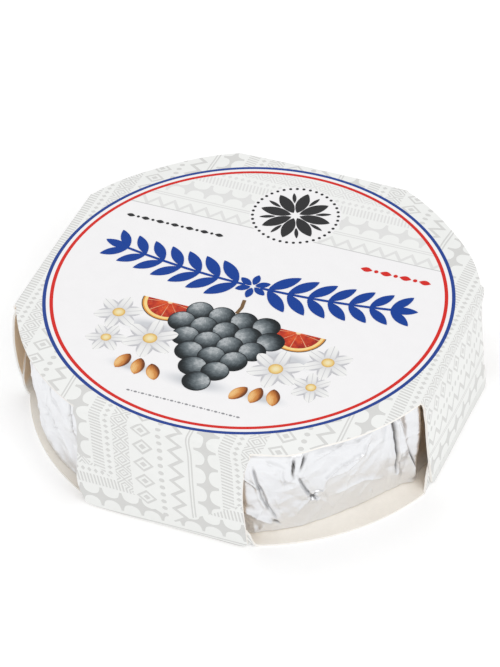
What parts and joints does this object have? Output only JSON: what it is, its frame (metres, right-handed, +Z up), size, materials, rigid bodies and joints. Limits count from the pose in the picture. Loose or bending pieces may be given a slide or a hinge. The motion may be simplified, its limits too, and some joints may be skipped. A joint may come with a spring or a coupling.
{
  "type": "wrapped camembert cheese",
  "caption": "Small round soft cheese in foil, held in a folded board wrap with a round top and base, walls between them and open windows.",
  "frame": {"origin": "under the middle of the pack, on the surface it stands on", "axes": "+Z up through the round panels, +Y towards the top of the print, the walls on X and Y and the windows on the diagonals"},
  "size_m": [0.0871, 0.0862, 0.0235],
  "materials": {
    "printed_board": "white coated board with a print on the outside, bare pale board inside",
    "foil": "bright crumpled foil"
  },
  "bodies": {
    "root": {"board_wrap": "printed_board", "foil_cheese": "foil"}
  },
  "joints": []
}
